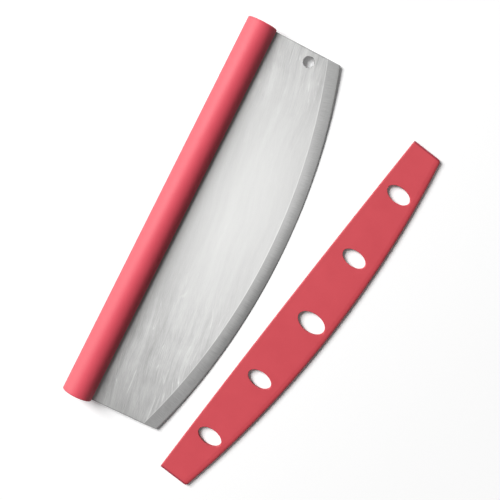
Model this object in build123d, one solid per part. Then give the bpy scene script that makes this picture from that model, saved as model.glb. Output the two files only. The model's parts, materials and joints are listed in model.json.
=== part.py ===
from build123d import *
import math
import os

# A rocking pizza knife lying on its side, with its blade guard taken off and laid beside it.
# Millimetres. X runs along the handle, the cutting edge faces -Y, and the floor is at Z = 0.
# Each piece of the knife is drawn with the handle's axis on X and the blade in the XY plane,
# then the whole knife is rolled until the cutting edge touches the floor.

# Handle
handle_diameter = 26.4
handle_length = 350.0
grip_wall = 3.0
seat_clearance = 0.05

# End caps
cap_flange_thickness = 1.5
cap_rim_round = 1.2
cap_spigot_diameter = 12.0
cap_spigot_length = 12.0
cap_spigot_chamfer = 0.8
cap_bore_spare_depth = 1.0

# Blade
blade_thickness = 1.8
blade_end_clearance = 0.1
belly_below_handle = 90.0
ends_below_handle = 61.3
bevel_width = 11.5
edge_thickness = 0.3
corner_radius = 1.2
hole_diameter = 9.5
hole_from_end = 9.6
hole_below_handle = 35.6
hole_chamfer = 0.2

# Tang, the part of the blade that the handle's core holds
tang_past_axis = 5.0
tang_end_gap = 4.0
shoulder_seat = 1.5

# Pins through the tang
pin_diameter = 4.0
pin_end_cover = 0.6
pin_chamfer = 0.4
pin_place_shares = (-0.84, -0.42, 0.0, 0.42, 0.84)

# Blade guard
guard_belly_width = 45.8
guard_end_width = 28.1
guard_mouth_crown = 1.3
guard_side_wall = 1.5
guard_side_clearance = 0.3
guard_end_wall = 2.4
guard_end_clearance = 0.3
guard_corner_radius = 3.5
guard_edge_round = 0.6
spine_width = 5.0
spine_drop = 0.35

# Oval windows in the guard
oval_row_shift = 0.95
oval_spacing = 65.4
oval_steps = (-2, -1, 0, 1, 2)
oval_length = 22.6
oval_width = 13.0
middle_oval_length = 26.2
middle_oval_width = 16.0
middle_oval_shift = 4.0

# Low ribs inside the guard that hold it on the blade
rib_steps = (-1.5, -0.5, 0.5, 1.5)
rib_width = 2.0
rib_length = 14.0
rib_height = 0.25
rib_from_mouth = 3.0

# Where the guard lies beside the knife
guard_gap = 22.5
guard_shift = -27.2
guard_yaw_degrees = -10.96

# How far a cutting shape runs past what it cuts
overrun = 5.0

# Sizes that follow from those above
handle_radius = handle_diameter / 2
core_radius = handle_radius - grip_wall
grip_length = handle_length - 2 * cap_flange_thickness
blade_length = grip_length - 2 * blade_end_clearance
belly_depth = handle_radius + belly_below_handle
end_depth = handle_radius + ends_below_handle
shoulder_depth = core_radius - shoulder_seat
cap_bore_radius = cap_spigot_diameter / 2 + seat_clearance
cap_bore_depth = cap_spigot_length + cap_bore_spare_depth
tang_length = grip_length - 2 * (cap_bore_depth + tang_end_gap)
pin_length = 2 * (core_radius - pin_end_cover)
guard_slot_width = blade_thickness + 2 * guard_side_clearance
guard_thickness = guard_slot_width + 2 * guard_side_wall
guard_slot_length = blade_length + 2 * guard_end_clearance
guard_length = guard_slot_length + 2 * guard_end_wall


def arc_radius(chord, rise):
    """Radius of the arc that rises by rise over the middle of a chord."""
    return ((chord / 2) ** 2 + rise ** 2) / (2 * rise)


edge_radius = arc_radius(blade_length, belly_depth - end_depth)
spine_radius = arc_radius(guard_length, guard_belly_width - guard_end_width)
mouth_radius = arc_radius(guard_length, guard_mouth_crown)


def roll_angle():
    """Roll in degrees at which the belly of the cutting edge just touches the floor."""
    half_edge = edge_thickness / 2
    reach = math.hypot(belly_depth, half_edge)
    return math.degrees(math.asin(handle_radius / reach) - math.atan2(half_edge, belly_depth))


def rod_along_x(radius, length):
    return Rot(0, 90, 0) * Cylinder(radius, length)


def pin_places():
    return [share * tang_length / 2 for share in pin_place_shares]


def bevel_ring(radius, width, half_thickness, half_edge):
    """The ring ground away above a bevel, round an upright axis at the origin."""
    slope = (half_thickness - half_edge) / width
    outside = radius + overrun
    lowest = half_edge - slope * overrun
    profile = Polyline(
        (radius - width, 0, half_thickness),
        (outside, 0, lowest),
        (outside, 0, half_thickness + overrun),
        (radius - width, 0, half_thickness + overrun),
        close=True,
    )
    return revolve(make_face(profile), Axis.Z)


def blade_outline():
    """Plan of the blade: square ends, an arched cutting edge and a tang between two shoulders."""
    half_blade = blade_length / 2
    half_tang = tang_length / 2
    back = Polyline(
        (-half_blade, -end_depth),
        (-half_blade, -shoulder_depth),
        (-half_tang, -shoulder_depth),
        (-half_tang, tang_past_axis),
        (half_tang, tang_past_axis),
        (half_tang, -shoulder_depth),
        (half_blade, -shoulder_depth),
        (half_blade, -end_depth),
    )
    edge = ThreePointArc((half_blade, -end_depth), (0, -belly_depth), (-half_blade, -end_depth))
    outline = make_face([back, edge])
    corners = [v for v in outline.vertices() if abs(v.Y + end_depth) < corner_radius]
    return fillet(corners, corner_radius)


def hanging_hole():
    """The cutter for the hole near one end, with a light chamfer at both faces."""
    radius = hole_diameter / 2
    place = Pos(blade_length / 2 - hole_from_end, -(handle_radius + hole_below_handle))
    cutter = Cylinder(radius, blade_thickness + 2 * overrun)
    funnel_height = hole_chamfer + overrun
    funnel = Cone(radius, radius + funnel_height, funnel_height)
    funnel_centre = blade_thickness / 2 - hole_chamfer + funnel_height / 2
    upper = Pos(0, 0, funnel_centre) * funnel
    lower = Pos(0, 0, -funnel_centre) * Rot(180, 0, 0) * funnel
    return place * (cutter + upper + lower)


def make_blade():
    """The stainless sheet, ground on both faces along its arched cutting edge."""
    half_thickness = blade_thickness / 2
    blade = extrude(blade_outline(), half_thickness, both=True)
    ring = bevel_ring(edge_radius, bevel_width, half_thickness, edge_thickness / 2)
    ring = Pos(0, edge_radius - belly_depth) * ring
    blade -= ring
    blade -= mirror(ring, Plane.XY)
    blade -= hanging_hole()
    for place in pin_places():
        blade -= Pos(place, 0) * Cylinder(pin_diameter / 2 + seat_clearance, blade_thickness + overrun)
    return blade


def make_core():
    """The two rigid halves that close on the tang, split in the plane of the blade."""
    core = rod_along_x(core_radius, grip_length)
    pocket_height = blade_thickness + 2 * seat_clearance
    mouth = core_radius + overrun
    tang_back = tang_past_axis + seat_clearance
    tang_pocket = Box(tang_length + 2 * seat_clearance, mouth + tang_back, pocket_height)
    core -= Pos(0, (tang_back - mouth) / 2) * tang_pocket
    shoulder_back = shoulder_depth - seat_clearance
    shoulder_pocket = Box(grip_length + 2 * overrun, mouth - shoulder_back, pocket_height)
    core -= Pos(0, -(mouth + shoulder_back) / 2) * shoulder_pocket
    for place in pin_places():
        core -= Pos(place, 0) * Cylinder(pin_diameter / 2 + seat_clearance, handle_diameter)
    for side in (-1, 1):
        bore = rod_along_x(cap_bore_radius, 2 * cap_bore_depth)
        core -= Pos(side * grip_length / 2, 0) * bore
    half_space = Box(grip_length + overrun, handle_diameter, handle_radius)
    upper = core & Pos(0, 0, handle_radius / 2) * half_space
    lower = core & Pos(0, 0, -handle_radius / 2) * half_space
    return upper, lower


def make_pins():
    """The row of plain steel pins that lock the tang between the core halves."""
    pin = Cylinder(pin_diameter / 2, pin_length)
    pin = chamfer(pin.edges().filter_by(GeomType.CIRCLE), pin_chamfer)
    return Compound([Pos(place, 0) * pin for place in pin_places()])


def make_grip():
    """The soft sleeve over the core, slit along its length where the blade comes out."""
    sleeve = rod_along_x(handle_radius, grip_length)
    sleeve -= rod_along_x(core_radius + seat_clearance, grip_length + overrun)
    slit_depth = handle_radius + overrun
    slit = Box(grip_length + overrun, slit_depth, blade_thickness + 2 * seat_clearance)
    return sleeve - Pos(0, -slit_depth / 2) * slit


def make_cap(side):
    """A cap for one end of the handle: a rounded disc with a spigot that fills the core's bore."""
    flange = rod_along_x(handle_radius, cap_flange_thickness)
    rim = flange.edges().filter_by(GeomType.CIRCLE).sort_by(Axis.X)[-1]
    flange = fillet(rim, cap_rim_round)
    spigot = rod_along_x(cap_spigot_diameter / 2, cap_spigot_length)
    nose = spigot.edges().filter_by(GeomType.CIRCLE).sort_by(Axis.X)[0]
    spigot = chamfer(nose, cap_spigot_chamfer)
    cap = Pos(cap_flange_thickness / 2, 0) * flange + Pos(-cap_spigot_length / 2, 0) * spigot
    cap = Pos(grip_length / 2, 0) * cap
    return cap if side > 0 else mirror(cap, Plane.YZ)


def mouth_height(along):
    """How far the mouth of the guard stands above the line through its corners."""
    return math.sqrt(mouth_radius ** 2 - along ** 2) - (mouth_radius - guard_mouth_crown)


def spine_depth(along):
    """How far the arched back of the guard lies below the line through its corners."""
    return math.sqrt(spine_radius ** 2 - along ** 2) - (spine_radius - guard_belly_width)


def guard_outline():
    half = guard_length / 2
    mouth = ThreePointArc((-half, 0), (0, guard_mouth_crown), (half, 0))
    spine = ThreePointArc((half, -guard_end_width), (0, -guard_belly_width), (-half, -guard_end_width))
    ends = [Line((side * half, 0), (side * half, -guard_end_width)) for side in (-1, 1)]
    outline = make_face([mouth, spine, *ends])
    corners = [v for v in outline.vertices() if abs(v.Y + guard_end_width) < guard_corner_radius]
    return fillet(corners, guard_corner_radius)


def guard_slot():
    """The slot for the blade: open at the mouth, closed at the ends and along the spine."""
    half = guard_slot_length / 2
    floor_radius = spine_radius - spine_width
    floor_centre = spine_radius - guard_belly_width
    end_floor = math.sqrt(floor_radius ** 2 - half ** 2) - floor_centre
    top = guard_mouth_crown + overrun
    walls = Polyline((-half, -end_floor), (-half, top), (half, top), (half, -end_floor))
    floor = ThreePointArc((half, -end_floor), (0, -(guard_belly_width - spine_width)), (-half, -end_floor))
    return extrude(make_face([walls, floor]), guard_slot_width / 2, both=True)


def guard_ovals():
    """Sketch of the row of oval windows, the middle one larger and set nearer the spine."""
    ovals = Sketch()
    for step in oval_steps:
        along = oval_row_shift + step * oval_spacing
        depth = (spine_depth(along) - mouth_height(along)) / 2
        if step == 0:
            oval = Ellipse(middle_oval_width / 2, middle_oval_length / 2)
            ovals += Pos(along, -depth - middle_oval_shift) * oval
        else:
            ovals += Pos(along, -depth) * Ellipse(oval_width / 2, oval_length / 2)
    return ovals


def guard_ribs():
    """Low ribs on both walls of the slot, midway between the windows."""
    ribs = []
    for step in rib_steps:
        along = oval_row_shift + step * oval_spacing
        middle = mouth_height(along) - rib_from_mouth - rib_length / 2
        for side in (-1, 1):
            height = side * (guard_slot_width - rib_height) / 2
            ribs.append(Pos(along, middle, height) * Box(rib_width, rib_length, rib_height))
    return ribs


def make_guard():
    """The moulded guard: two walls and a thinner spine, with five windows right through."""
    half_thickness = guard_thickness / 2
    guard = extrude(guard_outline(), half_thickness, both=True)
    guard -= extrude(guard_ovals(), guard_thickness, both=True)
    guard = fillet(guard.faces().filter_by(Plane.XY).edges(), guard_edge_round)
    ring = bevel_ring(spine_radius, spine_width, half_thickness, half_thickness - spine_drop)
    ring = Pos(0, spine_radius - guard_belly_width) * ring
    guard -= ring
    guard -= mirror(ring, Plane.XY)
    guard -= guard_slot()
    for rib in guard_ribs():
        guard += rib
    return Pos(0, 0, half_thickness) * guard


def lay_knife(piece):
    return Pos(0, 0, handle_radius) * Rot(roll_angle(), 0, 0) * piece


def lay_guard(piece):
    roll = math.radians(roll_angle())
    mouth_place = -(belly_depth * math.cos(roll) + guard_gap)
    return Pos(guard_shift, mouth_place, 0) * Rot(0, 0, guard_yaw_degrees) * piece


def main():
    core_upper, core_lower = make_core()
    pieces = {
        "blade": lay_knife(make_blade()),
        "core_upper_half": lay_knife(core_upper),
        "core_lower_half": lay_knife(core_lower),
        "tang_pins": lay_knife(make_pins()),
        "grip_sleeve": lay_knife(make_grip()),
        "end_cap_hole_end": lay_knife(make_cap(1)),
        "end_cap_plain_end": lay_knife(make_cap(-1)),
        "blade_guard": lay_guard(make_guard()),
    }
    box = Compound(list(pieces.values())).bounding_box()
    centre = box.center()
    os.makedirs("parts", exist_ok=True)
    for name, piece in pieces.items():
        export_step(Pos(-centre.X, -centre.Y, -box.min.Z) * piece, f"parts/{name}.step")
    print("overall size", box.size)
    print("origin in the handle's frame", centre.X, centre.Y, box.min.Z)
    print("roll in degrees", roll_angle())


main()
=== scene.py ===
# %% [markdown]
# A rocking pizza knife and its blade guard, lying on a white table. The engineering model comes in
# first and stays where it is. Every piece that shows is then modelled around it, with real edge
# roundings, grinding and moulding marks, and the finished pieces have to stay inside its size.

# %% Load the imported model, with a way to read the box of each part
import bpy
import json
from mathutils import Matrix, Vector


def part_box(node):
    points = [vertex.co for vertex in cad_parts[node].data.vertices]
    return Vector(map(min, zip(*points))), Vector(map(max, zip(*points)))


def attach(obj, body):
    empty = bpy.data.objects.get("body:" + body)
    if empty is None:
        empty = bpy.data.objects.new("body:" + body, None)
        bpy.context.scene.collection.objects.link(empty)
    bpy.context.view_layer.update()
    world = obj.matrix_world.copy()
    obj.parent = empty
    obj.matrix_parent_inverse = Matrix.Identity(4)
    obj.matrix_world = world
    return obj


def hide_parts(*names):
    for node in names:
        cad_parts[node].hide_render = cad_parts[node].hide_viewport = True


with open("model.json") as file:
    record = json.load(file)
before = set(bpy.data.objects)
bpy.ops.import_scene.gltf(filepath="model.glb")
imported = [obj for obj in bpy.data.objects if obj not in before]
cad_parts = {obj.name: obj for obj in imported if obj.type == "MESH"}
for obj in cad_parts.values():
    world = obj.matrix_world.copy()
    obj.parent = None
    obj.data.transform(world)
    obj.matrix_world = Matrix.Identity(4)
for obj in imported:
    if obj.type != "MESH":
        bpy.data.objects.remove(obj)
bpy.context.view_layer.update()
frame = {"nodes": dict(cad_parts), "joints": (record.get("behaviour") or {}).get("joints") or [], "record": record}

# %% [markdown]
# Blender works in metres and this knife is drawn in millimetres, so one named unit turns one into
# the other. Two frames of reference make the modelling easy. In the knife's frame the handle's axis
# is X and the blade lies flat, edge towards -Y. In the guard's frame its mouth lies along X. Both
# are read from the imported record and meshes, so that a piece can't drift from what it belongs to.

# %% The unit and the two frames of reference
import json
import math
import bmesh
import bpy
from mathutils import Matrix, Vector

MM = 0.001
record = frame["record"]
hole_mount = next(mount for mount in record["mounts"] if mount["name"] == "hanging_hole")
pull = Vector(frame["joints"][0]["axis"])

grip_low, grip_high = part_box("grip_sleeve")
handle_radius = (grip_high.z - grip_low.z) / 2
grip_length = grip_high.x - grip_low.x
roll = math.atan2(-hole_mount["axis"][1], hole_mount["axis"][2])
yaw = math.atan2(pull.x, -pull.y)
knife_frame = Matrix.Translation((grip_low + grip_high) / 2) @ Matrix.Rotation(roll, 4, "X")


def spread(node, axis, turn):
    """Lowest and highest value of a CAD node along one axis of a turned frame."""
    back = turn.inverted()
    values = [(back @ vertex.co)[axis] for vertex in frame["nodes"][node].data.vertices]
    return min(values), max(values)


guard_turn = Matrix.Rotation(yaw, 4, "Z")
guard_ends = spread("blade_guard", 0, guard_turn)
guard_mouth_top = spread("blade_guard", 1, guard_turn)[1]
guard_length = guard_ends[1] - guard_ends[0]
guard_thickness = spread("blade_guard", 2, guard_turn)[1]
blade_length = spread("blade", 0, knife_frame)[1] * 2
belly_depth = -spread("blade", 1, knife_frame)[0]
blade_thickness = spread("blade", 2, knife_frame)[1] * 2
print("handle radius, mm", round(handle_radius / MM, 2), "roll", round(math.degrees(roll), 2))
print("blade, mm", [round(v / MM, 2) for v in (blade_length, belly_depth, blade_thickness)])
print("guard, mm", [round(v / MM, 2) for v in (guard_length, guard_thickness)])

# %% [markdown]
# The camera stands almost straight above the table. It leans back by four degrees, which is why the
# lower end of the handle shows a sliver of its end face. Its place, its aim on the table and the
# direction that is up in the picture fix it completely. A long lens keeps the knife's outline
# nearly parallel.

# %% Camera
CAMERA_FROM_HANDLE = Vector((69.12, -52.74, 1060.37)) * MM
AIM_FROM_HANDLE = Vector((0.36, -76.08, 0)) * MM
PICTURE_UP_DEGREES = 26.83
LENS = 89.81

under_handle = Vector((knife_frame.translation.x, knife_frame.translation.y, 0))
camera_place = under_handle + CAMERA_FROM_HANDLE
camera_aim = under_handle + AIM_FROM_HANDLE
lens = bpy.data.cameras.new("table_camera")
lens.lens = LENS
lens.sensor_width = 36
camera = bpy.data.objects.new("table_camera", lens)
bpy.context.scene.collection.objects.link(camera)
back = (camera_place - camera_aim).normalized()
picture_up = Matrix.Rotation(math.radians(PICTURE_UP_DEGREES), 3, "Z") @ Vector((1, 0, 0))
right = picture_up.cross(back).normalized()
upright = back.cross(right)
axes = Matrix((right, upright, back)).transposed().to_4x4()
camera.matrix_world = Matrix.Translation(camera_place) @ axes
bpy.context.scene.camera = camera
print("camera stands", round(camera_place.z, 3), "m above the table")

# %% [markdown]
# Every piece ends the same way: its drawing is laid in place, its normals are turned outwards, it is
# hung from the body of the model that it moves with, and the CAD node that it stands for is hidden.
# Smooth shading is right for a surface that bends a little from face to face, and wrong across a real
# edge, so edges that turn more than a set angle are marked sharp.

# %% How a drawing becomes a finished piece
WELD = 0.002 * MM
PLANE_REACH = 0.001 * MM


def mark_edges(drawing, limit_degrees):
    """Smooth faces, with every edge that turns more than the limit kept crisp."""
    limit = math.radians(limit_degrees)
    for face in drawing.faces:
        face.smooth = True
    for edge in drawing.edges:
        edge.smooth = edge.is_manifold and edge.calc_face_angle(0) < limit


def as_object(drawing, name):
    """Puts a bmesh drawing into a new object at the origin."""
    mesh = bpy.data.meshes.new(name)
    drawing.to_mesh(mesh)
    drawing.free()
    piece = bpy.data.objects.new(name, mesh)
    bpy.context.scene.collection.objects.link(piece)
    return piece


def carve(piece, cutters):
    """Cuts the cutters out of a piece for good, and throws the cutters away."""
    for cutter in cutters:
        cut = piece.modifiers.new("cut", "BOOLEAN")
        cut.operation = "DIFFERENCE"
        cut.solver = "EXACT"
        cut.object = cutter
    evaluated = piece.evaluated_get(bpy.context.evaluated_depsgraph_get())
    carved = bpy.data.meshes.new_from_object(evaluated)
    piece.modifiers.clear()
    piece.data = carved
    for cutter in cutters:
        bpy.data.objects.remove(cutter)


def settle(piece, place, limit_degrees, body, nodes):
    """Lays a piece in the row's frame, tidies its mesh and hands it to the model."""
    drawing = bmesh.new()
    drawing.from_mesh(piece.data)
    bmesh.ops.remove_doubles(drawing, verts=drawing.verts, dist=WELD)
    bmesh.ops.dissolve_degenerate(drawing, edges=drawing.edges, dist=WELD)
    wires = [edge for edge in drawing.edges if edge.is_wire]
    bmesh.ops.delete(drawing, geom=wires, context="EDGES")
    bmesh.ops.recalc_face_normals(drawing, faces=drawing.faces)
    mark_edges(drawing, limit_degrees)
    bmesh.ops.transform(drawing, matrix=place, verts=drawing.verts)
    loose = sum(not edge.is_manifold for edge in drawing.edges)
    drawing.to_mesh(piece.data)
    drawing.free()
    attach(piece, body)
    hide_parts(*nodes)
    print(piece.name, "faces", len(piece.data.polygons), "open edges", loose)
    return piece


def spun(profile, centre, axis, degrees, steps, start=0.0):
    """A solid swept by turning a closed profile round an axis."""
    drawing = bmesh.new()
    points = [drawing.verts.new(point) for point in profile]
    rim = [drawing.edges.new((points[i - 1], points[i])) for i in range(len(points))]
    turn = Matrix.Rotation(math.radians(start), 3, axis)
    bmesh.ops.rotate(drawing, verts=points, cent=centre, matrix=turn)
    whole = degrees == 360
    bmesh.ops.spin(
        drawing,
        geom=points + rim,
        cent=centre,
        axis=axis,
        angle=math.radians(degrees),
        steps=steps,
        use_merge=whole,
    )
    close_holes(drawing)
    return drawing


def close_holes(drawing):
    """Fills every open rim with one flat face."""
    rims = [edge for edge in drawing.edges if edge.is_boundary]
    if rims:
        bmesh.ops.holes_fill(drawing, edges=rims, sides=0)


def trim(drawing, point, outward):
    """Cuts away what lies beyond a plane and closes the cut."""
    everything = drawing.verts[:] + drawing.edges[:] + drawing.faces[:]
    bmesh.ops.bisect_plane(
        drawing,
        geom=everything,
        plane_co=point,
        plane_no=outward,
        dist=PLANE_REACH,
        clear_outer=True,
    )
    close_holes(drawing)


def arc_radius(chord, rise):
    """Radius of the arc that rises by rise over the middle of a chord."""
    return ((chord / 2) ** 2 + rise**2) / (2 * rise)


def block(name, low, high):
    """A plain box between two corners, as a cutter."""
    drawing = bmesh.new()
    bmesh.ops.create_cube(drawing, size=1)
    size = Vector(high) - Vector(low)
    bmesh.ops.scale(drawing, vec=size, verts=drawing.verts)
    bmesh.ops.translate(drawing, vec=(Vector(high) + Vector(low)) / 2, verts=drawing.verts)
    return as_object(drawing, name)


# %% [markdown]
# The blade is stainless sheet with square ends, and its cutting edge is one long arc. That makes it
# a slice of a very large flat disc. Turning one cross-section round the arc's centre gives the arc
# and its ground bevel together, with no hand-made faces, and flat cuts then trim the ends and the
# back. The bevel gets steeper towards the edge, as a belt grinder leaves it, and ends in a narrow
# honed strip that is steeper still. Both darken as they turn away from the light.

# %% Blade: sweep the section and trim it
END_DEPTH = handle_radius + 61.3 * MM
BEVEL_WIDTH = 11.5 * MM
BEVEL_SLOPES = (0.045, 0.085)
HONED_WIDTH = 0.9 * MM
EDGE_THICKNESS = 0.06 * MM
TANG_BACK = 5.0 * MM
TRIM_MARGIN = 4.0 * MM
BLADE_STEPS = 160
BEVEL_STEPS = 8

edge_radius = arc_radius(blade_length, belly_depth - END_DEPTH)
arc_centre = Vector((0, edge_radius - belly_depth, 0))
inner_radius = edge_radius - belly_depth - TANG_BACK - TRIM_MARGIN


def bevel_points(side):
    """The bevel's section from its shoulder to the edge, on one face of the blade."""
    shoulder = edge_radius - BEVEL_WIDTH
    ground = BEVEL_WIDTH - HONED_WIDTH
    first, last = BEVEL_SLOPES
    points = []
    for step in range(BEVEL_STEPS + 1):
        share = step / BEVEL_STEPS
        fall = ground * (first * share + (last - first) * share**2 / 2)
        points.append((shoulder + ground * share, side * (blade_thickness / 2 - fall)))
    return points + [(edge_radius, side * EDGE_THICKNESS / 2)]


upper = bevel_points(1)
lower = bevel_points(-1)
half_sheet = blade_thickness / 2
section = [(inner_radius, half_sheet), *upper, *reversed(lower), (inner_radius, -half_sheet)]
profile = [arc_centre + Vector((0, -radius, height)) for radius, height in section]
half_angle = math.degrees(math.asin((blade_length / 2 + TRIM_MARGIN) / inner_radius))
blade_drawing = spun(profile, arc_centre, (0, 0, 1), 2 * half_angle, BLADE_STEPS, -half_angle)
for side in (-1, 1):
    trim(blade_drawing, (side * blade_length / 2, 0, 0), (side, 0, 0))
trim(blade_drawing, (0, TANG_BACK, 0), (0, 1, 0))
blade = as_object(blade_drawing, "ground_blade")
print("edge radius, mm", round(edge_radius / MM, 1), "faces so far", len(blade.data.polygons))

# %% [markdown]
# What is left is cut away: the two shoulders beside the tang, the holes for the tang's pins and the
# hanging hole. The hanging hole's cutter flares at both ends. A real punched hole is dressed like
# that, and the narrow flare is what catches the light as a bright ring.

# %% Blade: holes, shoulders and corners
TANG_LENGTH = 313.0 * MM
SHOULDER_DEPTH = handle_radius - 4.5 * MM
PIN_RADIUS = 2.05 * MM
PIN_SHARES = (-0.84, -0.42, 0.0, 0.42, 0.84)
HOLE_RADIUS = hole_mount["dims"]["r_mm"] * MM
HOLE_CHAMFER = 0.2 * MM
CORNER_RADIUS = 1.2 * MM
CORNER_STEPS = 8
PIN_STEPS = 32
ROUND_STEPS = 96
BLADE_CREASE_DEGREES = 1.4

hole_place = knife_frame.inverted() @ Vector(hole_mount["pos_m"])


def hole_cutter():
    half = blade_thickness / 2
    flare = TRIM_MARGIN
    profile = [
        (0, half + flare),
        (HOLE_RADIUS + HOLE_CHAMFER + flare, half + flare),
        (HOLE_RADIUS, half - HOLE_CHAMFER),
        (HOLE_RADIUS, -half + HOLE_CHAMFER),
        (HOLE_RADIUS + HOLE_CHAMFER + flare, -half - flare),
        (0, -half - flare),
    ]
    points = [hole_place + Vector((radius, 0, height)) for radius, height in profile]
    return as_object(spun(points, hole_place, (0, 0, 1), 360, ROUND_STEPS), "hole_cutter")


def pin_cutter(share):
    drawing = bmesh.new()
    bmesh.ops.create_cone(
        drawing,
        cap_ends=True,
        segments=PIN_STEPS,
        radius1=PIN_RADIUS,
        radius2=PIN_RADIUS,
        depth=TRIM_MARGIN * 2,
        matrix=Matrix.Translation((share * TANG_LENGTH / 2, 0, 0)),
    )
    return as_object(drawing, "pin_cutter")


def shoulder_cutter(side):
    ends = sorted((side * TANG_LENGTH / 2, side * (blade_length / 2 + TRIM_MARGIN)))
    low = (ends[0], -SHOULDER_DEPTH, -TRIM_MARGIN)
    high = (ends[1], TANG_BACK + TRIM_MARGIN, TRIM_MARGIN)
    return block("shoulder_cutter", low, high)


def sweep(drawing, vertex, centre, turn, steps):
    """Spins one vertex into an arc, and gives the vertex at its far end."""
    upwards = (0, 0, 1)
    arc = bmesh.ops.spin(drawing, geom=[vertex], cent=centre, axis=upwards, angle=turn, steps=steps)
    return arc["geom_last"][0]


def corner_cutter(side):
    """What a small radius takes off a tip of the cutting edge: a block with a round bite in it."""
    slope = math.asin(blade_length / 2 / edge_radius)
    drawing = bmesh.new()
    start = Vector((side * (blade_length / 2 - CORNER_RADIUS), 0, 0))
    below = arc_centre.y - math.sqrt((edge_radius - CORNER_RADIUS) ** 2 - start.x**2)
    start.y = below
    first = drawing.verts.new(start + Vector((side * CORNER_RADIUS, 0, -TRIM_MARGIN)))
    turn = -side * (math.pi / 2 - slope)
    last = sweep(drawing, first, start, turn, CORNER_STEPS)
    outer = (side * (blade_length / 2 + CORNER_RADIUS), last.co.y - CORNER_RADIUS, -TRIM_MARGIN)
    far = [
        drawing.verts.new((last.co.x, last.co.y - CORNER_RADIUS, -TRIM_MARGIN)),
        drawing.verts.new(outer),
        drawing.verts.new((outer[0], start.y, -TRIM_MARGIN)),
    ]
    chain = [last, *far, first]
    for near, next_one in zip(chain, chain[1:]):
        drawing.edges.new((near, next_one))
    floor = bmesh.ops.contextual_create(drawing, geom=drawing.edges[:])["faces"]
    raised = bmesh.ops.extrude_face_region(drawing, geom=floor)["geom"]
    tops = [item for item in raised if isinstance(item, bmesh.types.BMVert)]
    bmesh.ops.translate(drawing, vec=(0, 0, 2 * TRIM_MARGIN), verts=tops)
    bmesh.ops.recalc_face_normals(drawing, faces=drawing.faces)
    return as_object(drawing, "corner_cutter")


cutters = [hole_cutter()]
cutters += [pin_cutter(share) for share in PIN_SHARES]
cutters += [shoulder_cutter(side) for side in (-1, 1)]
cutters += [corner_cutter(side) for side in (-1, 1)]
carve(blade, cutters)
settle(blade, knife_frame, BLADE_CREASE_DEGREES, "knife", ["blade"])

# %% [markdown]
# The handle is a soft coral sleeve over a hidden core. It is a tube with softly rounded ends, so its
# half section is turned once round the handle's axis. A slit runs along it where the blade comes
# out, and the slit's lips are eased a little, which draws the dark line between handle and blade.

# %% Grip sleeve
GRIP_WALL = 2.95 * MM
SEAM_ROUND = 0.18 * MM
SLIT_CLEARANCE = 0.05 * MM
LIP_EASE = 0.35 * MM
GRIP_STEPS = 192
GRIP_CREASE_DEGREES = 25


def rounded(corner, radius, from_degrees, to_degrees, steps=5):
    """Points of a small round about a centre, in the (along, out) plane."""
    turns = [from_degrees + (to_degrees - from_degrees) * step / steps for step in range(steps + 1)]
    angles = [math.radians(turn) for turn in turns]
    return [(corner[0] + radius * math.cos(a), corner[1] + radius * math.sin(a)) for a in angles]


def lathe_points(profile):
    """(along, out) points as places above the handle's axis."""
    return [Vector((along, 0, out)) for along, out in profile]


half_grip = grip_length / 2
outer = handle_radius - SEAM_ROUND
profile = [(-half_grip, handle_radius - GRIP_WALL)]
profile += rounded((-half_grip + SEAM_ROUND, outer), SEAM_ROUND, 180, 90)
profile += rounded((half_grip - SEAM_ROUND, outer), SEAM_ROUND, 90, 0)
profile += [(half_grip, handle_radius - GRIP_WALL)]
grip = as_object(spun(lathe_points(profile), (0, 0, 0), (1, 0, 0), 360, GRIP_STEPS), "soft_grip")


def slit_cutter():
    """A long bar with a V towards the outside, as its cross-section is drawn here."""
    half = blade_thickness / 2 + SLIT_CLEARANCE
    reach = handle_radius + TRIM_MARGIN
    lip = handle_radius - LIP_EASE
    wide = half + LIP_EASE + TRIM_MARGIN
    shape = [(0, -half), (-lip, -half), (-reach, -wide), (-reach, wide), (-lip, half), (0, half)]
    drawing = bmesh.new()
    low = -half_grip - TRIM_MARGIN
    section = [drawing.verts.new((low, across, height)) for across, height in shape]
    face = drawing.faces.new(section)
    raised = bmesh.ops.extrude_face_region(drawing, geom=[face])["geom"]
    tops = [item for item in raised if isinstance(item, bmesh.types.BMVert)]
    bmesh.ops.translate(drawing, vec=(-2 * low, 0, 0), verts=tops)
    bmesh.ops.recalc_face_normals(drawing, faces=drawing.faces)
    return as_object(drawing, "slit_cutter")


carve(grip, [slit_cutter()])
settle(grip, knife_frame, GRIP_CREASE_DEGREES, "knife", ["grip_sleeve"])

# %% [markdown]
# A thin disc closes each end of the handle, and a spigot behind it fills the core's bore. The disc
# has a generous outer rim, a small inner one that makes the fine seam against the sleeve, a shallow
# dish in its face and, in the middle of the dish, the little pip that an injection gate leaves.

# %% End caps
CAP_RIM = 1.2 * MM
SPIGOT_RADIUS = 6.0 * MM
SPIGOT_LENGTH = 12.0 * MM
SPIGOT_CHAMFER = 0.8 * MM
DISH_RADIUS = 9.0 * MM
DISH_DEPTH = 0.25 * MM
PIP_RADIUS = 1.0 * MM
PIP_BELOW_RIM = 0.1 * MM
CAP_CREASE_DEGREES = 35


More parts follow.
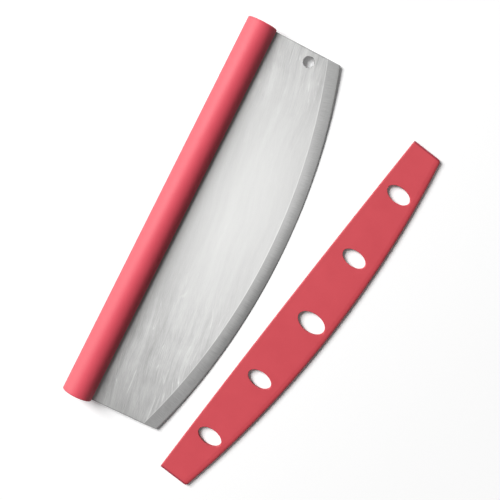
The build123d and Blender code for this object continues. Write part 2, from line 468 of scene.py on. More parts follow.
def end_cap(side, node, name):
    low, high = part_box(node)
    half_handle = (high.x if side > 0 else -low.x) + (-side) * knife_frame.translation.x
    out = half_handle - CAP_RIM
    inner = half_grip - SPIGOT_LENGTH
    dish_floor = half_handle - DISH_DEPTH
    pip_top = half_handle - PIP_BELOW_RIM
    profile = [(inner, 0), (inner, SPIGOT_RADIUS - SPIGOT_CHAMFER)]
    profile += [(inner + SPIGOT_CHAMFER, SPIGOT_RADIUS), (half_grip, SPIGOT_RADIUS)]
    profile += rounded((half_grip + SEAM_ROUND, handle_radius - SEAM_ROUND), SEAM_ROUND, 180, 90)
    profile += rounded((out, handle_radius - CAP_RIM), CAP_RIM, 90, 0, 8)
    profile += [(half_handle, DISH_RADIUS)]
    profile += [(half_handle - DISH_DEPTH * 0.5, DISH_RADIUS - DISH_DEPTH)]
    profile += [(dish_floor, DISH_RADIUS - 3 * DISH_DEPTH), (dish_floor, PIP_RADIUS + DISH_DEPTH)]
    profile += [(pip_top, PIP_RADIUS), (pip_top, 0)]
    profile = [(side * along, height) for along, height in profile]
    drawing = spun(lathe_points(profile), (0, 0, 0), (1, 0, 0), 360, GRIP_STEPS)
    cap = as_object(drawing, name)
    return settle(cap, knife_frame, CAP_CREASE_DEGREES, "knife", [node])


cap_hole_end = end_cap(1, "end_cap_hole_end", "cap_hole_end")
cap_plain_end = end_cap(-1, "end_cap_plain_end", "cap_plain_end")

# %% [markdown]
# The guard is a flat moulded sheath. Its spine is an arc, its mouth is nearly straight and its two
# outer corners are round, so a single vertex is spun from arc to arc until it has drawn the whole
# outline. That is filled and given its thickness, and its rims are rounded with a bevel. A ring
# cutter then takes a shallow slope and a wide round off the spine, which the hand holds. The oval
# windows and the slot are cut last, because rounding a rim that already has holes in it gives
# pinched faces.

# %% Guard: outline and thickness
GUARD_END_WIDTH = 28.1 * MM
GUARD_BELLY = 45.8 * MM
MOUTH_CROWN = 1.3 * MM
GUARD_CORNER = 3.5 * MM
GUARD_RIM = 0.6 * MM
GUARD_RIM_STEPS = 4
GUARD_STEPS = 120

spine_radius = arc_radius(guard_length, GUARD_BELLY - GUARD_END_WIDTH)
mouth_radius = arc_radius(guard_length, MOUTH_CROWN)
mouth_line = guard_mouth_top - MOUTH_CROWN
guard_middle = (guard_ends[0] + guard_ends[1]) / 2
lift = Vector((guard_middle, mouth_line, guard_thickness / 2))
guard_frame = guard_turn @ Matrix.Translation(lift)


def guard_outline(drawing):
    """Corner, spine, corner and mouth, drawn anticlockwise on the guard's lower face."""
    half, low = guard_length / 2, -guard_thickness / 2
    spine_centre = Vector((0, spine_radius - GUARD_BELLY, low))
    mouth_centre = Vector((0, MOUTH_CROWN - mouth_radius, low))
    corner_x, corner_reach = half - GUARD_CORNER, spine_radius - GUARD_CORNER
    corner_y = spine_centre.y - math.sqrt(corner_reach**2 - corner_x**2)
    half_spine = math.asin(corner_x / corner_reach)
    corner_turn = math.pi / 2 - half_spine
    start = drawing.verts.new((-half, corner_y, low))
    end = sweep(drawing, start, (-corner_x, corner_y, low), corner_turn, CORNER_STEPS)
    end = sweep(drawing, end, spine_centre, 2 * half_spine, GUARD_STEPS)
    end = sweep(drawing, end, (corner_x, corner_y, low), corner_turn, CORNER_STEPS)
    mouth_start = drawing.verts.new((half, 0, low))
    half_mouth = math.asin(half / mouth_radius)
    mouth_end = sweep(drawing, mouth_start, mouth_centre, 2 * half_mouth, GUARD_STEPS)
    drawing.edges.new((end, mouth_start))
    drawing.edges.new((mouth_end, start))


def lies_on_rim(edge):
    """True for an edge round the upper or the lower face, and not for an upright one."""
    return abs(sum(vertex.co.z for vertex in edge.verts)) > guard_thickness / 2


def guard_plate():
    drawing = bmesh.new()
    guard_outline(drawing)
    floor = bmesh.ops.contextual_create(drawing, geom=drawing.edges[:])["faces"]
    raised = bmesh.ops.extrude_face_region(drawing, geom=floor)["geom"]
    tops = [item for item in raised if isinstance(item, bmesh.types.BMVert)]
    bmesh.ops.translate(drawing, vec=(0, 0, guard_thickness), verts=tops)
    bmesh.ops.recalc_face_normals(drawing, faces=drawing.faces)
    bmesh.ops.bevel(
        drawing,
        geom=[edge for edge in drawing.edges if lies_on_rim(edge)],
        offset=GUARD_RIM,
        offset_type="OFFSET",
        affect="EDGES",
        segments=GUARD_RIM_STEPS,
        profile=0.5,
        material=-1,
        clamp_overlap=True,
    )
    return as_object(drawing, "moulded_guard")


guard = guard_plate()
print("guard plate faces", len(guard.data.polygons))

# %% [markdown]
# The windows are cut by oval plugs that flare where they pass the two faces, so each rim comes out
# rounded. The slot for the blade is a thin leaf, open at the mouth and closed at both ends and along
# the spine. Light falls through a window and shows the slot's dark line between the two walls. Low
# ribs inside the slot grip the blade. They are taken out of the leaf, so that they stay standing.

# %% Guard: slope, windows and slot
SPINE_WIDTH = 5.0 * MM
SPINE_DROP = 0.15 * MM
SPINE_ROUND = Vector((3.6, 2.4)) * MM
SPINE_OVERLAP = 0.02 * MM
WINDOW_RIM = 0.6 * MM
SLOT_WIDTH = 2.4 * MM
SLOT_END_WALL = 2.4 * MM
OVAL_ROW_SHIFT = 0.95 * MM
OVAL_SPACING = 65.4 * MM
OVAL_SIZE = Vector((13.0, 22.6)) * MM
MIDDLE_OVAL_SIZE = Vector((16.0, 26.2)) * MM
MIDDLE_OVAL_SHIFT = 4.0 * MM
RIB_SIZE = Vector((2.0, 14.0, 0.25)) * MM
RIB_FROM_MOUTH = 3.0 * MM
GUARD_CREASE_DEGREES = 4


def spine_depth(along):
    return math.sqrt(spine_radius**2 - along**2) - (spine_radius - GUARD_BELLY)


def mouth_height(along):
    return math.sqrt(mouth_radius**2 - along**2) - (mouth_radius - MOUTH_CROWN)


def slope_cutter(side):
    """What the slope and the round take off one face, swept along the spine's arc."""
    half = guard_thickness / 2
    centre = Vector((0, spine_radius - GUARD_BELLY, 0))
    start = spine_radius + SPINE_OVERLAP - SPINE_ROUND.x
    low = half - SPINE_DROP - SPINE_ROUND.y
    quarter = rounded((0, 0), 1, 90, 0, 8)
    section = [(spine_radius - SPINE_WIDTH, half)]
    section += [(start + SPINE_ROUND.x * out, low + SPINE_ROUND.y * up) for out, up in quarter]
    section += [(spine_radius + TRIM_MARGIN, low), (spine_radius + TRIM_MARGIN, half + TRIM_MARGIN)]
    section += [(spine_radius - SPINE_WIDTH, half + TRIM_MARGIN)]
    points = [centre + Vector((0, -radius, side * height)) for radius, height in section]
    reach = guard_length / 2 + TRIM_MARGIN
    turn = math.degrees(math.asin(reach / (spine_radius - SPINE_WIDTH)))
    drawing = spun(points, centre, (0, 0, 1), 2 * turn, GUARD_STEPS, -turn)
    bmesh.ops.recalc_face_normals(drawing, faces=drawing.faces)
    return as_object(drawing, "slope_cutter")


def window_cutter(step):
    along = OVAL_ROW_SHIFT + step * OVAL_SPACING
    size = MIDDLE_OVAL_SIZE if step == 0 else OVAL_SIZE
    shift = MIDDLE_OVAL_SHIFT if step == 0 else 0
    depth = (spine_depth(along) - mouth_height(along)) / 2 + shift
    half = guard_thickness / 2
    rings = [(half + TRIM_MARGIN, 2 * WINDOW_RIM), (half + WINDOW_RIM / 8, WINDOW_RIM)]
    for turn in (22.5, 45, 67.5):
        angle = math.radians(turn)
        rings.append((half - WINDOW_RIM * (1 - math.cos(angle)), WINDOW_RIM * (1 - math.sin(angle))))
    rings.append((half - WINDOW_RIM, 0))
    levels = rings + [(-height, grow) for height, grow in reversed(rings)]
    drawing = bmesh.new()
    loops = []
    for height, grow in levels:
        place = Matrix.Translation((along, -depth, height))
        shape = Matrix.Diagonal((size.x / 2 + grow, size.y / 2 + grow, 1, 1))
        ring = bmesh.ops.create_circle(drawing, segments=ROUND_STEPS, radius=1, matrix=place @ shape)
        loops.append([edge for edge in drawing.edges if edge.verts[0] in ring["verts"]])
    for near, next_one in zip(loops, loops[1:]):
        bmesh.ops.bridge_loops(drawing, edges=near + next_one)
    close_holes(drawing)
    bmesh.ops.recalc_face_normals(drawing, faces=drawing.faces)
    return as_object(drawing, "window_cutter")


def slot_cutter():
    """The space for the blade, drawn as a slice of a disc like the blade itself."""
    half = guard_length / 2 - SLOT_END_WALL
    floor_radius = spine_radius - SPINE_WIDTH
    inner = spine_radius - GUARD_BELLY - 4 * TRIM_MARGIN
    centre = Vector((0, spine_radius - GUARD_BELLY, 0))
    corners = [(inner, 1), (floor_radius, 1), (floor_radius, -1), (inner, -1)]
    points = [centre + Vector((0, -radius, side * SLOT_WIDTH / 2)) for radius, side in corners]
    turn = math.degrees(math.asin((half + TRIM_MARGIN) / inner))
    drawing = spun(points, centre, (0, 0, 1), 2 * turn, GUARD_STEPS, -turn)
    for side in (-1, 1):
        trim(drawing, (side * half, 0, 0), (side, 0, 0))
    bmesh.ops.recalc_face_normals(drawing, faces=drawing.faces)
    leaf = as_object(drawing, "slot_cutter")
    carve(leaf, [rib_block(step, side) for step in (-1.5, -0.5, 0.5, 1.5) for side in (-1, 1)])
    return leaf


def rib_block(step, side):
    """A bite out of the slot's leaf, midway between two windows, that leaves one rib."""
    along = OVAL_ROW_SHIFT + step * OVAL_SPACING
    top = mouth_height(along) - RIB_FROM_MOUTH
    heights = sorted((side * (SLOT_WIDTH / 2 - RIB_SIZE.z), side * SLOT_WIDTH))
    low = (along - RIB_SIZE.x / 2, top - RIB_SIZE.y, heights[0])
    high = (along + RIB_SIZE.x / 2, top, heights[1])
    return block("rib_block", low, high)


cutters = [slope_cutter(side) for side in (-1, 1)]
cutters += [window_cutter(step) for step in range(-2, 3)]
cutters += [slot_cutter()]
carve(guard, cutters)
settle(guard, guard_frame, GUARD_CREASE_DEGREES, "guard", ["blade_guard"])

# %% [markdown]
# Finishes come next. Writing shader maths node by node is hard to read, so a small class wraps a
# socket and lets ordinary arithmetic add the Math nodes. Every other node comes from one method,
# which takes the node's type, its settings and what goes into its sockets.

# %% A small language for finishes


class Field:
    """A number that varies over a surface."""

    def __init__(self, finish, socket):
        self.finish = finish
        self.socket = socket

    def combine(self, operation, first, second):
        return self.finish.add("ShaderNodeMath", {"operation": operation}, {0: first, 1: second})

    def __add__(self, other):
        return self.combine("ADD", self, other)

    def __sub__(self, other):
        return self.combine("SUBTRACT", self, other)

    def __rsub__(self, other):
        return self.combine("SUBTRACT", other, self)

    def __mul__(self, other):
        return self.combine("MULTIPLY", self, other)

    def __pow__(self, other):
        return self.combine("POWER", self, other)

    __radd__ = __add__
    __rmul__ = __mul__


class Finish:
    """The nodes of a material or of the room."""

    def __init__(self, owner):
        self.owner = owner
        owner.use_nodes = True
        self.tree = owner.node_tree
        self.tree.nodes.clear()

    def add(self, kind, settings, sockets, out=0):
        node = self.tree.nodes.new(kind)
        for key, value in settings.items():
            setattr(node, key, value)
        for key, value in sockets.items():
            if isinstance(value, Field):
                self.tree.links.new(value.socket, node.inputs[key])
            else:
                node.inputs[key].default_value = value
        return Field(self, node.outputs[out]) if node.outputs else None

    def place(self, frame_matrix):
        """Object coordinates turned into a piece's own frame and counted in millimetres."""
        coordinates = self.add("ShaderNodeTexCoord", {}, {}, "Object")
        sockets = {
            "Vector": coordinates,
            "Location": frame_matrix.translation,
            "Rotation": frame_matrix.to_euler(),
            "Scale": (MM, MM, MM),
        }
        return self.add("ShaderNodeMapping", {"vector_type": "TEXTURE"}, sockets)

    def part(self, vector, axis):
        """One of the three numbers that a vector holds."""
        return self.add("ShaderNodeSeparateXYZ", {}, {0: vector}, axis)

    def vector(self, x, y, z=0.0):
        return self.add("ShaderNodeCombineXYZ", {}, {"X": x, "Y": y, "Z": z})

    def noise(self, vector, scale=1.0, detail=2.0, rough=0.5):
        sockets = {"Vector": vector, "Scale": scale, "Detail": detail, "Roughness": rough}
        return self.add("ShaderNodeTexNoise", {}, sockets)

    def between(self, value, low, high):
        """0 below low, 1 above high, and a smooth step in between."""
        settings = {"interpolation_type": "SMOOTHSTEP"}
        sockets = {"Value": value, "From Min": low, "From Max": high}
        return self.add("ShaderNodeMapRange", settings, sockets)

    def mix(self, share, first, second):
        """A colour that goes from the first to the second."""
        return self.add("ShaderNodeMix", {"data_type": "RGBA"}, {0: share, 6: first, 7: second}, 2)

    def bump(self, height, distance):
        return self.add("ShaderNodeBump", {}, {"Distance": distance, "Height": height})

    def paint(self, sockets):
        shader = self.add("ShaderNodeBsdfPrincipled", {}, sockets)
        self.add("ShaderNodeOutputMaterial", {}, {"Surface": shader})
        return self.owner


# %% [markdown]
# Brushed stainless has no colour of its own: what shows is the room, smeared by thousands of fine
# strokes. The strokes lie nearly along this blade, a few degrees aslant, and wander, because the
# sheet is brushed by hand. A noise becomes a stroke when it is stretched: counted in long grains
# along and in short ones across. A slow second noise pushes the grains sideways, which bends them.
# A scratch is the thin line where such a noise passes one value, kept in a few places only.

# %% Brushed steel: strokes and scratches
STROKE_TURN_DEGREES = 7
CROSS_TURN_DEGREES = 19
STROKE_WANDER = 16.0
WANDER_SCALE = 0.011
SCRATCH_SIZE = (70.0, 3.2)
SCRATCH_VALUE = 0.56
SCRATCH_WIDTH = 0.0002
SCRATCHED_SIZE = (30.0, 9.0)
SCRATCHED_RANGE = (0.5, 0.6)


def strokes(steel, turn_degrees, length, width, detail, layer):
    """A noise drawn out along the brushing, with a length and a width in millimetres."""
    turn = Matrix.Rotation(math.radians(turn_degrees), 4, "Z")
    place = steel.place(knife_frame @ turn)
    wander = STROKE_WANDER * steel.noise(place, WANDER_SCALE, 1.0, 0.5)
    along, across = steel.part(place, "X"), steel.part(place, "Y")
    grains = steel.vector(along * (1 / length), (across + wander) * (1 / width), layer)
    return steel.noise(grains, 1.0, detail, 0.55)


def scratches(steel, turn_degrees, layer):
    """Thin bright lines, in a few places only."""
    from_line = strokes(steel, turn_degrees, *SCRATCH_SIZE, 0.0, layer) - SCRATCH_VALUE
    close = 1 - steel.between(from_line * from_line, 0.0, SCRATCH_WIDTH)
    some = strokes(steel, turn_degrees, *SCRATCHED_SIZE, 1.0, layer + 3.0)
    return close * steel.between(some, *SCRATCHED_RANGE)


# %% [markdown]
# Four layers of strokes lie over each other, from broad drifts to a fine grain, with slow clouds
# under them and the scratches on top. The marks are painted faint round the middle of the sheen and
# strong towards the ends, a painted glint, and one number turns them all up or down. A painted shadow
# of the handle darkens the face beside it, and a little painted shade darkens it towards the edge.
# Painted shade also draws both cut ends as thin dark lines.

# %% Brushed steel: the flat face
STROKE_LAYERS = {
    "broad": (STROKE_TURN_DEGREES, 80.0, 6.0, 2.0, 1.0),
    "middle": (STROKE_TURN_DEGREES, 36.0, 0.7, 1.0, 2.0),
    "cross": (CROSS_TURN_DEGREES, 30.0, 0.6, 1.0, 3.0),
    "fine": (STROKE_TURN_DEGREES, 6.0, 0.35, 2.0, 4.0),
}
MARK_SHARES = {"broad": 0.15, "middle": 0.075, "cross": 0.06, "clouds": 0.1, "fine": 0.09}
CLOUD_SCALE = 0.05
SCRATCH_SHARE = 0.06
SCRATCH_TURNS = (STROKE_TURN_DEGREES - 4, CROSS_TURN_DEGREES)
# Painted glint: the marks are faint round the sheen's middle and strong towards the ends.
QUIET_PLACE = 34.0
QUIET_REACH = 80.0
QUIET_LEVEL = 0.28
PAINTED_GLINT_GAIN = 1.1
PAINTED_GLINT_RANGE = (-0.3, 3.6)
# Painted shade: a painted shadow of the handle beside it, and a little painted shade towards the edge.
HANDLE_SHADOW_SHARE = 0.062
HANDLE_SHADOW_REACH = (8, 36)
HANDLE_SHADOW_TOWARDS_ENDS = (0.1, 0.75)
EDGEWARD_SHADE_SHARE = 0.02
EDGEWARD_SHADE_RANGE = (38, 80)
# Painted shade: thin dark lines at both cut ends of the blade.
CUT_END_SHADE_SHARE = 0.12
CUT_END_SHADE_REACH = (1.1, 0.3)

half_blade = blade_length / MM / 2


def near_ends(finish, along, half, reach):
    """1 in a narrow band at both ends of a piece, and 0 between the two bands."""
    return finish.between(along * along, (half - reach[0]) ** 2, (half - reach[1]) ** 2)


def brushing(steel):
    """Every layer of marks on the sheet, by name."""
    marks = {name: strokes(steel, *layer) for name, layer in STROKE_LAYERS.items()}
    marks["clouds"] = steel.noise(steel.place(knife_frame), CLOUD_SCALE, 3.0, 0.6)
    first, second = SCRATCH_TURNS
    marks["scratch"] = scratches(steel, first, 5.0) + scratches(steel, second, 6.0)
    return marks


def face_change(steel, marks, along, below_handle, towards_ends):
    """How much paler than plain steel each place on the flat face is."""
    from_quiet = (along - QUIET_PLACE) * (1 / QUIET_REACH)
    # Painted glint: marks and scratches grow stronger away from the sheen's middle.
    painted_glint = QUIET_LEVEL + PAINTED_GLINT_GAIN * steel.between(from_quiet * from_quiet, *PAINTED_GLINT_RANGE)
    change = sum(share * (marks[name] - 0.5) for name, share in MARK_SHARES.items())
    change = change + SCRATCH_SHARE * marks["scratch"] * painted_glint
    # Painted shadow of the handle on the face, fading towards the ends, and painted shade towards the edge.
    painted_shade = HANDLE_SHADOW_SHARE * (1 - steel.between(below_handle, *HANDLE_SHADOW_REACH))
    painted_shade = painted_shade * (1 - steel.between(towards_ends, *HANDLE_SHADOW_TOWARDS_ENDS))
    painted_shade = painted_shade + EDGEWARD_SHADE_SHARE * steel.between(below_handle, *EDGEWARD_SHADE_RANGE)
    # Painted shade along both cut ends.
    cut_end_shade = near_ends(steel, along, half_blade, CUT_END_SHADE_REACH)
    return change * painted_glint - painted_shade - CUT_END_SHADE_SHARE * cut_end_shade


# %% [markdown]
# The bevel is ground by a belt that runs across the edge, so its lines stand at right angles to the
# arc. Distance and angle from the arc's centre are the natural coordinates there. The bevel is painted
# darker than the face, darker towards the edge and darker still on the honed strip: painted shade
# for faces that turn from the light. It is painted palest near the hanging hole and paler at both
# ends, a painted light where the bevel faces more of the lamp.

# %% Brushed steel: the bevel
GRIND_WIDTH = 0.5
GRIND_LENGTH = 8.0
GRIND_SHARE = 0.12
# Painted shade on the bevel, its edge and the honed strip; painted light near the hanging hole and at the ends.
BEVEL_PAINTED_SHADE = 0.115
HOLE_SIDE_PAINTED_LIGHT = 0.1
HOLE_SIDE_LIGHT_RANGE = (-100, 110)
END_PAINTED_LIGHT = 0.045
EDGE_PAINTED_SHADE = 0.15
EDGE_AT_ENDS = 1.2
HONED_PAINTED_SHADE = 0.05
HONED_BLEND = 0.15

shoulder = (edge_radius - BEVEL_WIDTH) / MM
honed_line = (edge_radius - HONED_WIDTH) / MM


def belt_lines(steel, x, y, reach):
    """Fine lines that all point at the arc's centre."""
    angle = steel.add("ShaderNodeMath", {"operation": "ARCTAN2"}, {0: x, 1: y})
    grains = steel.vector(angle * (edge_radius / MM / GRIND_WIDTH), reach * (1 / GRIND_LENGTH))
    return steel.noise(grains, 1.0, 2.0, 0.6)


def bevel_change(steel, grind, reach, along, towards_ends):
    """How much paler than plain steel each place on the bevel is."""
    to_edge = steel.between(reach, shoulder, edge_radius / MM)
    honed = steel.between(reach, honed_line, honed_line + HONED_BLEND)
    # Painted shade: the bevel darker overall, towards the edge and on the honed strip; painted light near the hole
    # and at the ends.
    change = GRIND_SHARE * (grind - 0.5) - BEVEL_PAINTED_SHADE
    change = change + HOLE_SIDE_PAINTED_LIGHT * steel.between(along, *HOLE_SIDE_LIGHT_RANGE) + END_PAINTED_LIGHT * towards_ends
    change = change - EDGE_PAINTED_SHADE * to_edge * (1 - EDGE_AT_ENDS * towards_ends)
    return change - HONED_PAINTED_SHADE * honed


# %% [markdown]
# Face and bevel come together in one material. A thin painted highlight runs along the face where
# they meet, as a slightly rounded shoulder would catch the light, and the bevel is a little rougher
# than the face. Brushed metal also spreads its highlight: wide across the strokes and little along
# them. That is the shader's anisotropy, one number, and the direction that it goes by comes with the mesh.

# %% Brushed steel: the whole finish
STEEL_LEVEL = 0.353
STEEL_ROUGHNESS = 0.49
UNEVEN_ROUGHNESS = 0.1
BEVEL_ROUGHER = 0.09
ANISOTROPY = 0.955
SHOULDER_BLEND = 0.1
# Painted highlight along the bevel's shoulder.
SHOULDER_HIGHLIGHT_SHARE = 0.06
SHOULDER_HIGHLIGHT_REACH = (1.1, 0.2)
STROKE_HEIGHT = 0.12
FINE_HEIGHT = 0.15
SCRATCH_DEPTH = 0.05
GRIND_HEIGHT = 0.1
STEEL_BUMP = 0.1 * MM


def brushed_steel():
    steel = Finish(bpy.data.materials.new("brushed_steel"))
    to_centre = steel.place(knife_frame @ Matrix.Translation(arc_centre))
    x, y = steel.part(to_centre, "X"), steel.part(to_centre, "Y")
    reach = (x * x + y * y) ** 0.5
    grind = belt_lines(steel, x, y, reach)
    bevel = steel.between(reach, shoulder - SHOULDER_BLEND, shoulder + SHOULDER_BLEND)
    # Painted highlight along the shoulder, on the face side.
    wide, narrow = SHOULDER_HIGHLIGHT_REACH
    shoulder_highlight = steel.between(reach, shoulder - wide, shoulder - narrow) * (1 - bevel)

    on_face = steel.place(knife_frame)
    along = steel.part(on_face, "X")
    below_handle = steel.part(on_face, "Y") * -1 - handle_radius / MM
    towards_ends = along * along * (1 / half_blade**2)
    marks = brushing(steel)
    face = face_change(steel, marks, along, below_handle, towards_ends) + SHOULDER_HIGHLIGHT_SHARE * shoulder_highlight
    ground = bevel_change(steel, grind, reach, along, towards_ends)
    level = STEEL_LEVEL + face * (1 - bevel) + ground * bevel
    uneven = UNEVEN_ROUGHNESS * (marks["clouds"] + marks["middle"] - 1)
    height = STROKE_HEIGHT * (marks["middle"] + marks["cross"]) + FINE_HEIGHT * marks["fine"]
    height = height - SCRATCH_DEPTH * marks["scratch"] + GRIND_HEIGHT * grind * bevel
    return steel.paint(
        {
            "Base Color": steel.mix(level, (0, 0, 0, 1), (1, 1, 0.99, 1)),
            "Metallic": 1.0,
            "Roughness": STEEL_ROUGHNESS + uneven + BEVEL_ROUGHER * bevel,
            "Anisotropic": ANISOTROPY,
            "Normal": steel.bump(height, STEEL_BUMP),
        }
    )


blade.data.materials.clear()
blade.data.materials.append(brushed_steel())
print("steel nodes", len(blade.data.materials[0].node_tree.nodes))

# %% [markdown]
# Without another instruction the shader spreads a highlight along circles round the middle of the
# mesh's own texture space. So that middle is put far beyond one end of the blade, in line with the
# strokes. Seen from there the circles are nearly straight, and they cross every stroke.

# %% Which way the highlight spreads
SHEEN_TURN_DEGREES = -9.8
SHEEN_MIDDLE_AWAY = 3.0

stroke_line = Matrix.Rotation(math.radians(SHEEN_TURN_DEGREES), 3, "Z") @ Vector((1, 0, 0))
blade.data.use_auto_texspace = False
blade.data.texspace_size = (1, 1, 1)
blade.data.texspace_location = under_handle - SHEEN_MIDDLE_AWAY * stroke_line
print("highlight spreads round", [round(value, 2) for value in blade.data.texspace_location])

# %% [markdown]
# The grip and the guard are the same coral, but not the same surface. The grip is soft-touch: a fine
# velvet grain that spreads its highlight, and its side towards the softbox is painted a little paler,
# a painted sheen. The guard is a harder moulding with a faint eroded texture and flow marks, and its
# two ends are painted darker, a painted shade for rims that turn from the light.

# %% Coral plastics
GRIP_DARK = (0.735, 0.076, 0.112, 1)
GRIP_PALE = (0.833, 0.096, 0.136, 1)
GRIP_PAINTED_SHEEN = (0.745, 0.137, 0.165, 1)
# Painted sheen on the grip's side towards the softbox.
PAINTED_SHEEN_RANGE = (2.0, 9.0)
GUARD_DARK = (0.605, 0.0602, 0.0785, 1)
GUARD_PALE = (0.702, 0.0778, 0.099, 1)
# Painted shade at the guard's two ends.
GUARD_END_SHADE = (0.36, 0.028, 0.05, 1)
GUARD_END_SHADE_REACH = (2.1, 1.0)


def soft_coral():
    coral = Finish(bpy.data.materials.new("soft_coral"))
    place = coral.place(knife_frame)
    grain = coral.noise(place, 6.0, 3.0, 0.6)
    clouds = coral.noise(place, 0.05, 3.0, 0.55)
    rub = coral.noise(place, 0.45, 2.0, 0.5)
    share = 0.5 + 0.7 * (clouds - 0.5) + 0.25 * (grain - 0.5)
    colour = coral.mix(share, GRIP_DARK, GRIP_PALE)
    # Painted sheen: the side towards the softbox is paler.
    painted_sheen_side = coral.between(coral.part(place, "Y"), *PAINTED_SHEEN_RANGE)
    return coral.paint(
        {
            "Base Color": coral.mix(painted_sheen_side, colour, GRIP_PAINTED_SHEEN),
            "Roughness": 0.6 + 0.12 * (clouds - 0.5) + 0.1 * (rub - 0.5),
            "Normal": coral.bump(grain + 0.5 * rub, 0.02 * MM),
        }
    )


def moulded_coral():
    coral = Finish(bpy.data.materials.new("moulded_coral"))
    place = coral.place(guard_frame)
    grain = coral.noise(place, 3.2, 4.0, 0.65)
    clouds = coral.noise(place, 0.04, 4.0, 0.6)
    share = 0.5 + 0.9 * (clouds - 0.5) + 0.35 * (grain - 0.5)
    colour = coral.mix(share, GUARD_DARK, GUARD_PALE)
    # Painted shade in a narrow band at both ends.
    guard_end_shade = near_ends(coral, coral.part(place, "X"), guard_length / MM / 2, GUARD_END_SHADE_REACH)
    return coral.paint(
        {
            "Base Color": coral.mix(guard_end_shade, colour, GUARD_END_SHADE),
            "Roughness": 0.5 + 0.14 * (clouds - 0.5) + 0.08 * (grain - 0.5),
            "Normal": coral.bump(grain, 0.03 * MM),
        }
    )


coral = soft_coral()
for piece in (grip, cap_hole_end, cap_plain_end):
    piece.data.materials.clear()
    piece.data.materials.append(coral)
guard.data.materials.clear()
guard.data.materials.append(moulded_coral())

# %% [markdown]
# The pieces inside the handle don't show, but someone may take the handle apart. The core is plain
# moulded plastic with a fine grain, and the pins are turned steel with rings along them. Both keep
# their CAD meshes.

# %% Hidden core and pins


def core_plastic():
    core = Finish(bpy.data.materials.new("core_plastic"))
    place = core.place(knife_frame)
    grain = core.noise(place, 2.0, 3.0, 0.6)
    return core.paint(
        {
            "Base Color": core.mix(grain, (0.03, 0.03, 0.033, 1), (0.05, 0.05, 0.054, 1)),
            "Roughness": 0.5 + 0.2 * (grain - 0.5),
            "Normal": core.bump(grain, 0.02 * MM),
        }
    )


def turned_steel():
    steel = Finish(bpy.data.materials.new("turned_steel"))
    place = steel.place(knife_frame)
    height = steel.part(place, "Z")
    rings = steel.add("ShaderNodeTexNoise", {"noise_dimensions": "1D"}, {"W": height, "Scale": 6.0})
    return steel.paint(
        {
            "Base Color": steel.mix(rings, (0.45, 0.45, 0.46, 1), (0.6, 0.6, 0.6, 1)),
            "Metallic": 1.0,
            "Roughness": 0.3 + 0.2 * (rings - 0.5),
            "Normal": steel.bump(rings, 0.01 * MM),
        }
    )


hidden = {"core_upper_half": core_plastic(), "tang_pins": turned_steel()}
hidden["core_lower_half"] = hidden["core_upper_half"]
for node, material in hidden.items():
    mesh = frame["nodes"][node].data
    mesh.materials.clear()
    mesh.materials.append(material)

# %% [markdown]
# The light is a plain product table with a single tall softbox. It stands on the handle's side,
# about forty degrees from straight above and a little towards the hanging hole. It shades the
# handle from bright to dark, throws short soft shadows and gives the steel its long sheen. Its
# strength is set by the level that it gives a flat sheet on the table. With the dim room that comes
# to about one, so that colours render as they are written.

# %% Lamps
KEY_PLACE = Vector((552, 2840, 3447)) * MM
KEY_SIZE = (1590 * MM, 2650 * MM)
KEY_LEVEL = 1.0


def softbox(name, place, size, level):
    """A rectangular lamp that faces the middle of the table and gives it the wanted level."""
    lamp = bpy.data.lights.new(name, "AREA")
    lamp.shape = "RECTANGLE"
    lamp.size, lamp.size_y = size
    sine = place.z / place.length
    lamp.energy = level * math.pi**2 * place.length_squared / sine
    holder = bpy.data.objects.new(name, lamp)
    bpy.context.scene.collection.objects.link(holder)
    toward = (-place).to_track_quat("-Z", "Y").to_matrix().to_4x4()
    holder.matrix_world = Matrix.Translation(place) @ toward
    print(name, "watts", round(lamp.energy, 1))


softbox("key_softbox", KEY_PLACE, KEY_SIZE, KEY_LEVEL)

# %% [markdown]
# The room itself is dim, so that the handle keeps its dark side. What the pieces mirror in it is a
# little paler, with two pale side walls, and palest low down behind the softbox, where a wall
# catches its light. The camera sees a white backdrop. Light Path tells these rays apart.

# %% Rays that look at the surroundings


def kind_of_ray(finish, *kinds):
    """1 for rays of the given kinds, 0 for all others."""
    return sum(finish.add("ShaderNodeLightPath", {}, {}, kind) for kind in kinds)


def grey(level):
    return (level, level, level, 1)


# %% Room
ROOM_LEVEL = 0.015
MIRRORED_LEVEL = 0.28
WALL_LEVEL = 2.0
BACKDROP_LEVEL = 1.0
WALL_HEIGHTS = (0.3, 0.6)
WALL_SIDE = (0.0, 0.6)
SIDE_LEVEL = 1.3
SIDE_HEIGHTS = (0.5, 0.85)
SIDE_SPREAD = (0.25, 0.6)

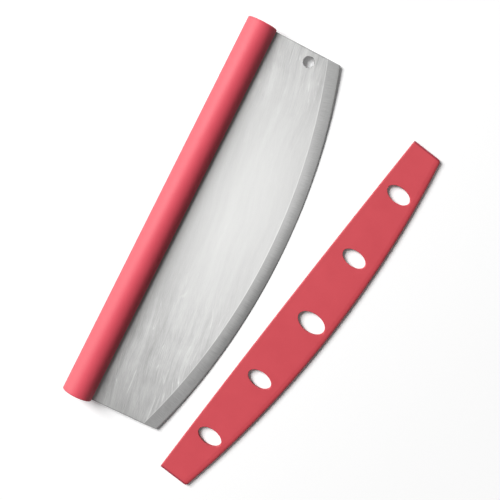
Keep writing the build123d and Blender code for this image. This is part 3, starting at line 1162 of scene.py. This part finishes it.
bpy.context.scene.world = bpy.data.worlds.new("room")
room = Finish(bpy.context.scene.world)
direction = room.add("ShaderNodeTexCoord", {}, {}, "Generated")
height, away = room.part(direction, "Z"), room.part(direction, "Y")
wall = (1 - room.between(height, *WALL_HEIGHTS)) * room.between(away, *WALL_SIDE)
aside = 1 - room.between(away * away, *SIDE_SPREAD)
sides = (1 - room.between(height, *SIDE_HEIGHTS)) * aside
mirrored = room.mix(sides, grey(MIRRORED_LEVEL), grey(SIDE_LEVEL))
mirrored = room.mix(wall, mirrored, grey(WALL_LEVEL))
reflected = kind_of_ray(room, "Is Glossy Ray", "Is Transmission Ray")
light = room.mix(reflected, grey(ROOM_LEVEL), mirrored)
light = room.mix(kind_of_ray(room, "Is Camera Ray"), light, grey(BACKDROP_LEVEL))
backdrop = room.add("ShaderNodeBackground", {}, {"Color": light})
room.add("ShaderNodeOutputWorld", {}, {"Surface": backdrop})

# %% [markdown]
# The table is a white sheet that runs out of sight. Near the pieces it takes their shadows like
# paper, and further out it glows a plain white, because one lamp can't light a whole table evenly.
# To the eye it is cleaner than the light that it throws back at the pieces.

# %% Table
TABLE_SIZE = 30.0
TABLE_BOUNCE = 0.42
TABLE_WHITE = 1.0
TABLE_GLOW = 0.09
LIT_REACH = (0.12, 0.6)

drawing = bmesh.new()
bmesh.ops.create_grid(drawing, x_segments=1, y_segments=1, size=TABLE_SIZE)
table = as_object(drawing, "table")
paper = Finish(bpy.data.materials.new("table_paper"))
seen = kind_of_ray(paper, "Is Camera Ray", "Is Glossy Ray", "Is Transmission Ray")
spot = paper.add("ShaderNodeTexCoord", {}, {}, "Object")
distance = paper.add("ShaderNodeVectorMath", {"operation": "LENGTH"}, {0: spot}, "Value")
far = paper.between(distance, *LIT_REACH)
paper_white = paper.mix(far, grey(TABLE_WHITE), grey(0.0))
paper_glow = paper.mix(far, grey(TABLE_GLOW), grey(1.0))
table.data.materials.append(
    paper.paint(
        {
            "Base Color": paper.mix(seen, grey(TABLE_BOUNCE), paper_white),
            "Roughness": 0.9,
            "Specular IOR Level": 0.0,
            "Emission Color": paper.mix(seen, grey(0.0), paper_glow),
            "Emission Strength": 1.0,
        }
    )
)

# %% [markdown]
# Colours leave Blender as they are computed, with no film look.

# %% Output
bpy.context.scene.view_settings.view_transform = "Standard"
